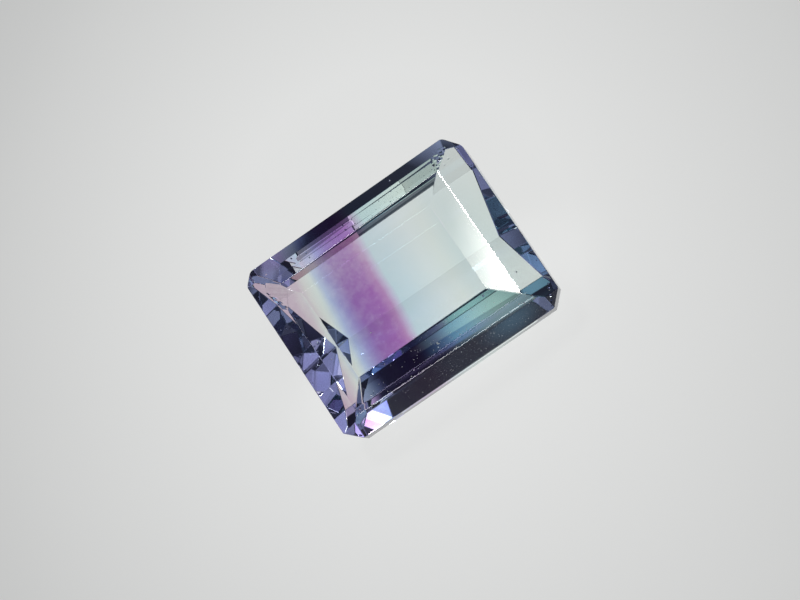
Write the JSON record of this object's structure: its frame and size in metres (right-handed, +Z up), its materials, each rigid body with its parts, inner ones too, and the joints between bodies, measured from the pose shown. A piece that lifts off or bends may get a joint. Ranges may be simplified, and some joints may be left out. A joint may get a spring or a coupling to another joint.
{
  "type": "faceted fluorite gemstone",
  "caption": "Rectangular step-cut fluorite gemstone, clear and polished, with a purple colour band and a pink end, lying on one pavilion facet.",
  "frame": {"origin": "middle of the stone's box, on the surface that it lies on", "axes": "+X along the long sides towards the clear end, +Z up, the table facing up and towards -Y"},
  "size_m": [0.01, 0.0072, 0.0058],
  "materials": {
    "fluorite": "polished"
  },
  "bodies": {
    "root": {"fluorite_gem": "fluorite"}
  },
  "joints": []
}
